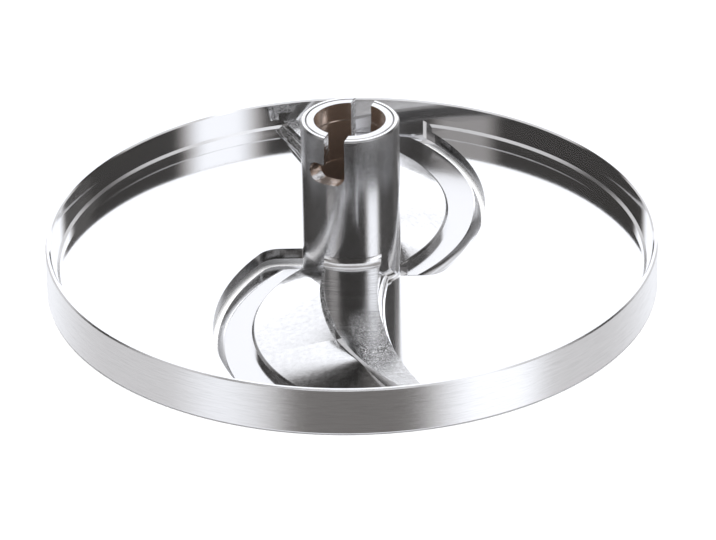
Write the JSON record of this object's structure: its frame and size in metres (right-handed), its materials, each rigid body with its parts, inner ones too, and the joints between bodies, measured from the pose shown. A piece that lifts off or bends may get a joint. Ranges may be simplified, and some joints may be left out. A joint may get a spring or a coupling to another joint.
{
  "type": "food processor slicing disc",
  "caption": "Round cast slicing disc with an upright rim, curved arms over sickle blades in crescent windows, and a tall central hub with bayonet slots for a drive shaft.",
  "frame": {"origin": "on the disc's axis, at the level of the rim's lower edge, on which the disc rests", "axes": "+Z along the hub towards its open end, -Y towards the front of the picture"},
  "size_m": [0.175, 0.175, 0.0513],
  "materials": {
    "cast_body": "cast, turned and polished, with a brushed rim",
    "sleeve_steel": "turned and bored",
    "blade_steel": "ground",
    "screw_steel": "plain machined"
  },
  "bodies": {
    "root": {"disc_body": "cast_body", "hub_sleeve": "sleeve_steel", "blade_1": "blade_steel", "blade_2": "blade_steel", "blade_screws": "screw_steel"}
  },
  "joints": []
}
